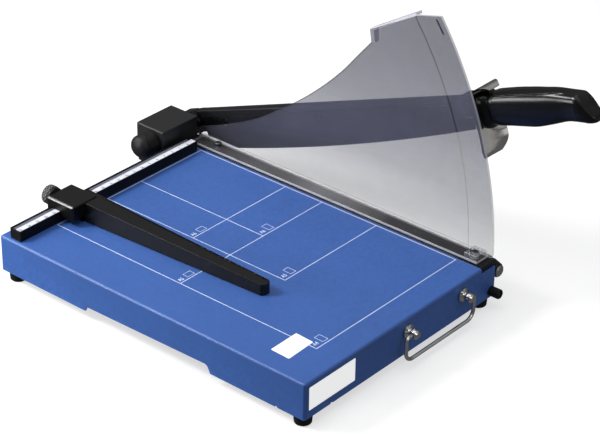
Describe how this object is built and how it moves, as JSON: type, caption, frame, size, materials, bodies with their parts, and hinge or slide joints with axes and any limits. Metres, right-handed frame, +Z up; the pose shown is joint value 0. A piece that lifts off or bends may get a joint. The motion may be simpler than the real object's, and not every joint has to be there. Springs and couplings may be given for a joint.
{
  "type": "guillotine paper cutter",
  "caption": "Desktop guillotine paper cutter: blue sheet-metal table, raised blade arm with grip and hand guard, smoked shield that clamps the paper, scaled fence and sliding side stop.",
  "frame": {"origin": "centre of the bounding box's base, on the desk", "axes": "+X from the table towards the cutting side, where the blade arm is; +Y from the user's side towards the pivot and the fence; +Z up"},
  "size_m": [0.2877, 0.4544, 0.2512],
  "materials": {
    "blue_powder_coat": "satin powder coat",
    "black_powder_coat": "satin powder coat",
    "blackened_steel": "blackened",
    "bright_steel": "zinc plated",
    "ground_knife_steel": "ground",
    "brass": "turned",
    "nickel_plate": "satin nickel plate",
    "black_plastic": "fine grain",
    "grip_plastic": "half gloss",
    "black_rubber": "moulded",
    "smoked_clear_plastic": "clear smoked sheet",
    "white_scale": "printed strip",
    "bush_bronze": "sintered",
    "spring_steel": "drawn wire"
  },
  "bodies": {
    "base": {"base_tray": "blue_powder_coat", "foot_front_left": "black_rubber", "foot_front_right": "black_rubber", "foot_rear_left": "black_rubber", "foot_rear_right": "black_rubber", "foot_screw_front_left": "bright_steel", "foot_screw_front_right": "bright_steel", "foot_screw_rear_left": "bright_steel", "foot_screw_rear_right": "bright_steel", "bed_bar": "black_powder_coat", "bar_screw_1": "bright_steel", "bar_screw_2": "bright_steel", "fixed_knife": "ground_knife_steel", "knife_screw_1": "blackened_steel", "knife_screw_2": "blackened_steel", "knife_screw_3": "blackened_steel", "arm_stop_plate": "black_powder_coat", "stop_stud": "bright_steel", "fence_rail": "black_powder_coat", "scale_strip": "white_scale", "fence_screw_1": "bright_steel", "fence_screw_2": "bright_steel", "pivot_bracket": "black_powder_coat", "bracket_bolt_1": "bright_steel", "bracket_bolt_2": "bright_steel", "pivot_cover": "black_plastic", "pivot_cap": "black_plastic", "pivot_shaft": "bright_steel", "pivot_spring": "spring_steel", "spring_washer": "bright_steel", "pivot_nut": "bright_steel", "guide_screw_front": "blackened_steel", "guide_screw_rear": "blackened_steel", "clamp_spring_front": "spring_steel", "clamp_spring_rear": "spring_steel", "bail_stud_left": "nickel_plate", "bail_stud_right": "nickel_plate", "stud_nut_left": "bright_steel", "stud_nut_right": "bright_steel", "rubber_buffer": "black_rubber", "buffer_screw": "bright_steel"},
    "arm": {"blade_arm": "black_powder_coat", "arm_bush": "bush_bronze", "cutting_blade": "ground_knife_steel", "blade_screw_1": "bright_steel", "blade_screw_2": "bright_steel", "blade_screw_3": "bright_steel", "lift_cam": "blackened_steel", "handle_collar": "black_plastic", "hand_guard": "nickel_plate", "grip": "grip_plastic", "grip_bolt": "bright_steel"},
    "clamp": {"clamp_shield": "smoked_clear_plastic", "cam_follower": "blackened_steel"},
    "stop": {"side_stop": "black_plastic", "stop_nut": "brass", "stop_shoe": "brass"},
    "knob": {"stop_knob": "black_plastic", "stop_screw": "bright_steel"},
    "bail": {"carry_bail": "nickel_plate"}
  },
  "joints": [
    {"name": "arm_swing", "type": "hinge", "parent": "base", "child": "arm", "pos_m": [0.1189, 0.2064, 0.0547], "axis": [-1, 0, 0], "range_deg": [-20, 13]},
    {"name": "clamp_lift", "type": "slide", "parent": "base", "child": "clamp", "axis": [0, 0, 1], "range_m": [-0.0013, 0.0009], "deforming": ["clamp_spring_front", "clamp_spring_rear"]},
    {"name": "stop_slide", "type": "slide", "parent": "base", "child": "stop", "axis": [1, 0, 0], "range_m": [-0.046, 0.1]},
    {"name": "knob_turn", "type": "hinge", "parent": "stop", "child": "knob", "pos_m": [-0.0824, 0.1974, 0.0576], "axis": [0, 1, 0], "continuous": true},
    {"name": "bail_swing", "type": "hinge", "parent": "base", "child": "bail", "pos_m": [0.02175, -0.1546, 0.0309], "axis": [-1, 0, 0], "range_deg": [-10, 110]}
  ],
  "couplings": [
    {"joint": "clamp_lift", "follows": "arm_swing", "m_per_rad": 0.00344}
  ]
}
